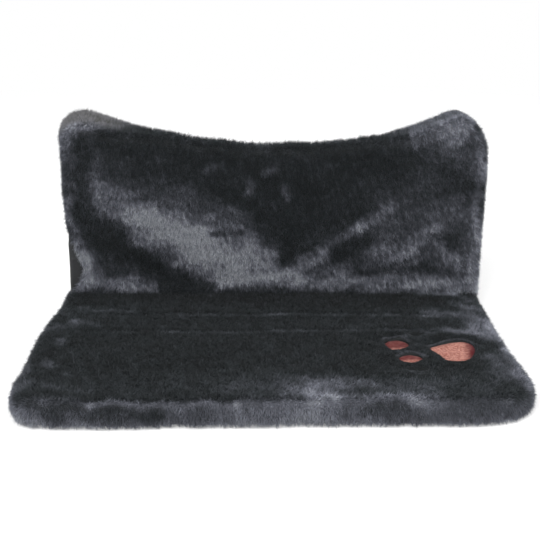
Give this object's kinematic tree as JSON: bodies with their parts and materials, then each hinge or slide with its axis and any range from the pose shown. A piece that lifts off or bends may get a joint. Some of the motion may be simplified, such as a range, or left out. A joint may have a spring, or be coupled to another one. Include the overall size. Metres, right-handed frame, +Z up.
{
  "type": "cat radiator bed",
  "caption": "Soft bed for a cat that hangs on a radiator: tube frame with sliding hooks, plush seat and back, and a cut-out paw print.",
  "frame": {"origin": "on the surface that the seat can stand on, under the middle of the whole bed's box", "axes": "+X to the sitter's right as seen from the front, +Y towards the radiator, +Z up"},
  "size_m": [0.46, 0.4084, 0.2137],
  "materials": {
    "powder_coated_tube": "black powder coat, fine texture",
    "zinc_plated_steel": "bright zinc plate",
    "black_rubber": "matt moulded rubber",
    "moulded_nylon": "moulded, lightly textured",
    "charcoal_plush": "short dense plush with a changing nap",
    "black_lining": "plain woven polyester lining",
    "zip_tape_cloth": "woven tape",
    "zip_coil_nylon": "nylon coil",
    "zip_black_metal": "black enamel",
    "pink_suede": "soft brushed suede cloth",
    "pad_foam": "open cell foam",
    "hardboard": "pressed hardboard"
  },
  "bodies": {
    "bed": {"left_upright": "powder_coated_tube", "right_upright": "powder_coated_tube", "seat_tube": "powder_coated_tube", "rear_crossbar": "powder_coated_tube", "socket_screws": "zinc_plated_steel", "crossbar_screws": "zinc_plated_steel", "buffer_screws": "zinc_plated_steel", "left_clamp_nut": "zinc_plated_steel", "right_clamp_nut": "zinc_plated_steel", "left_buffer": "black_rubber", "right_buffer": "black_rubber", "left_arm_shoe": "moulded_nylon", "right_arm_shoe": "moulded_nylon", "back_cover_front": "charcoal_plush", "seat_cover_top": "charcoal_plush", "back_cover_rear_upper": "black_lining", "back_cover_rear_lower": "black_lining", "left_ear_lining": "black_lining", "right_ear_lining": "black_lining", "left_side_gusset": "black_lining", "right_side_gusset": "black_lining", "seat_cover_base": "black_lining", "zip_tape_upper": "zip_tape_cloth", "zip_tape_lower": "zip_tape_cloth", "zip_coil": "zip_coil_nylon", "zip_stops": "zip_black_metal", "paw_backing": "pink_suede", "foam_pad": "pad_foam", "seat_board": "hardboard"},
    "left_hook_body": {"left_hook": "powder_coated_tube", "left_hook_cap": "black_rubber"},
    "right_hook_body": {"right_hook": "powder_coated_tube", "right_hook_cap": "black_rubber"},
    "left_clamp_body": {"left_clamp_screw": "zinc_plated_steel", "left_clamp_knob": "moulded_nylon"},
    "right_clamp_body": {"right_clamp_screw": "zinc_plated_steel", "right_clamp_knob": "moulded_nylon"},
    "zip_slider_body": {"zip_slider": "zip_black_metal"},
    "zip_pull_body": {"zip_pull": "zip_black_metal"}
  },
  "joints": [
    {"name": "left_hook_slide", "type": "slide", "parent": "bed", "child": "left_hook_body", "axis": [0, 1, 0], "range_m": [0, 0.028]},
    {"name": "right_hook_slide", "type": "slide", "parent": "bed", "child": "right_hook_body", "axis": [0, 1, 0], "range_m": [0, 0.028]},
    {"name": "left_clamp_turn", "type": "hinge", "parent": "bed", "child": "left_clamp_body", "pos_m": [-0.1925, 0.15875, 0.196], "axis": [1, 0, 0], "continuous": true},
    {"name": "right_clamp_turn", "type": "hinge", "parent": "bed", "child": "right_clamp_body", "pos_m": [0.1925, 0.15875, 0.196], "axis": [1, 0, 0], "continuous": true},
    {"name": "zip_travel", "type": "slide", "parent": "bed", "child": "zip_slider_body", "axis": [-1, 0, 0], "range_m": [0, 0.2628]},
    {"name": "zip_pull_swing", "type": "hinge", "parent": "zip_slider_body", "child": "zip_pull_body", "pos_m": [0.1314, 0.10785, 0.092], "axis": [0, 0, -1], "range_deg": [0, 175]}
  ]
}
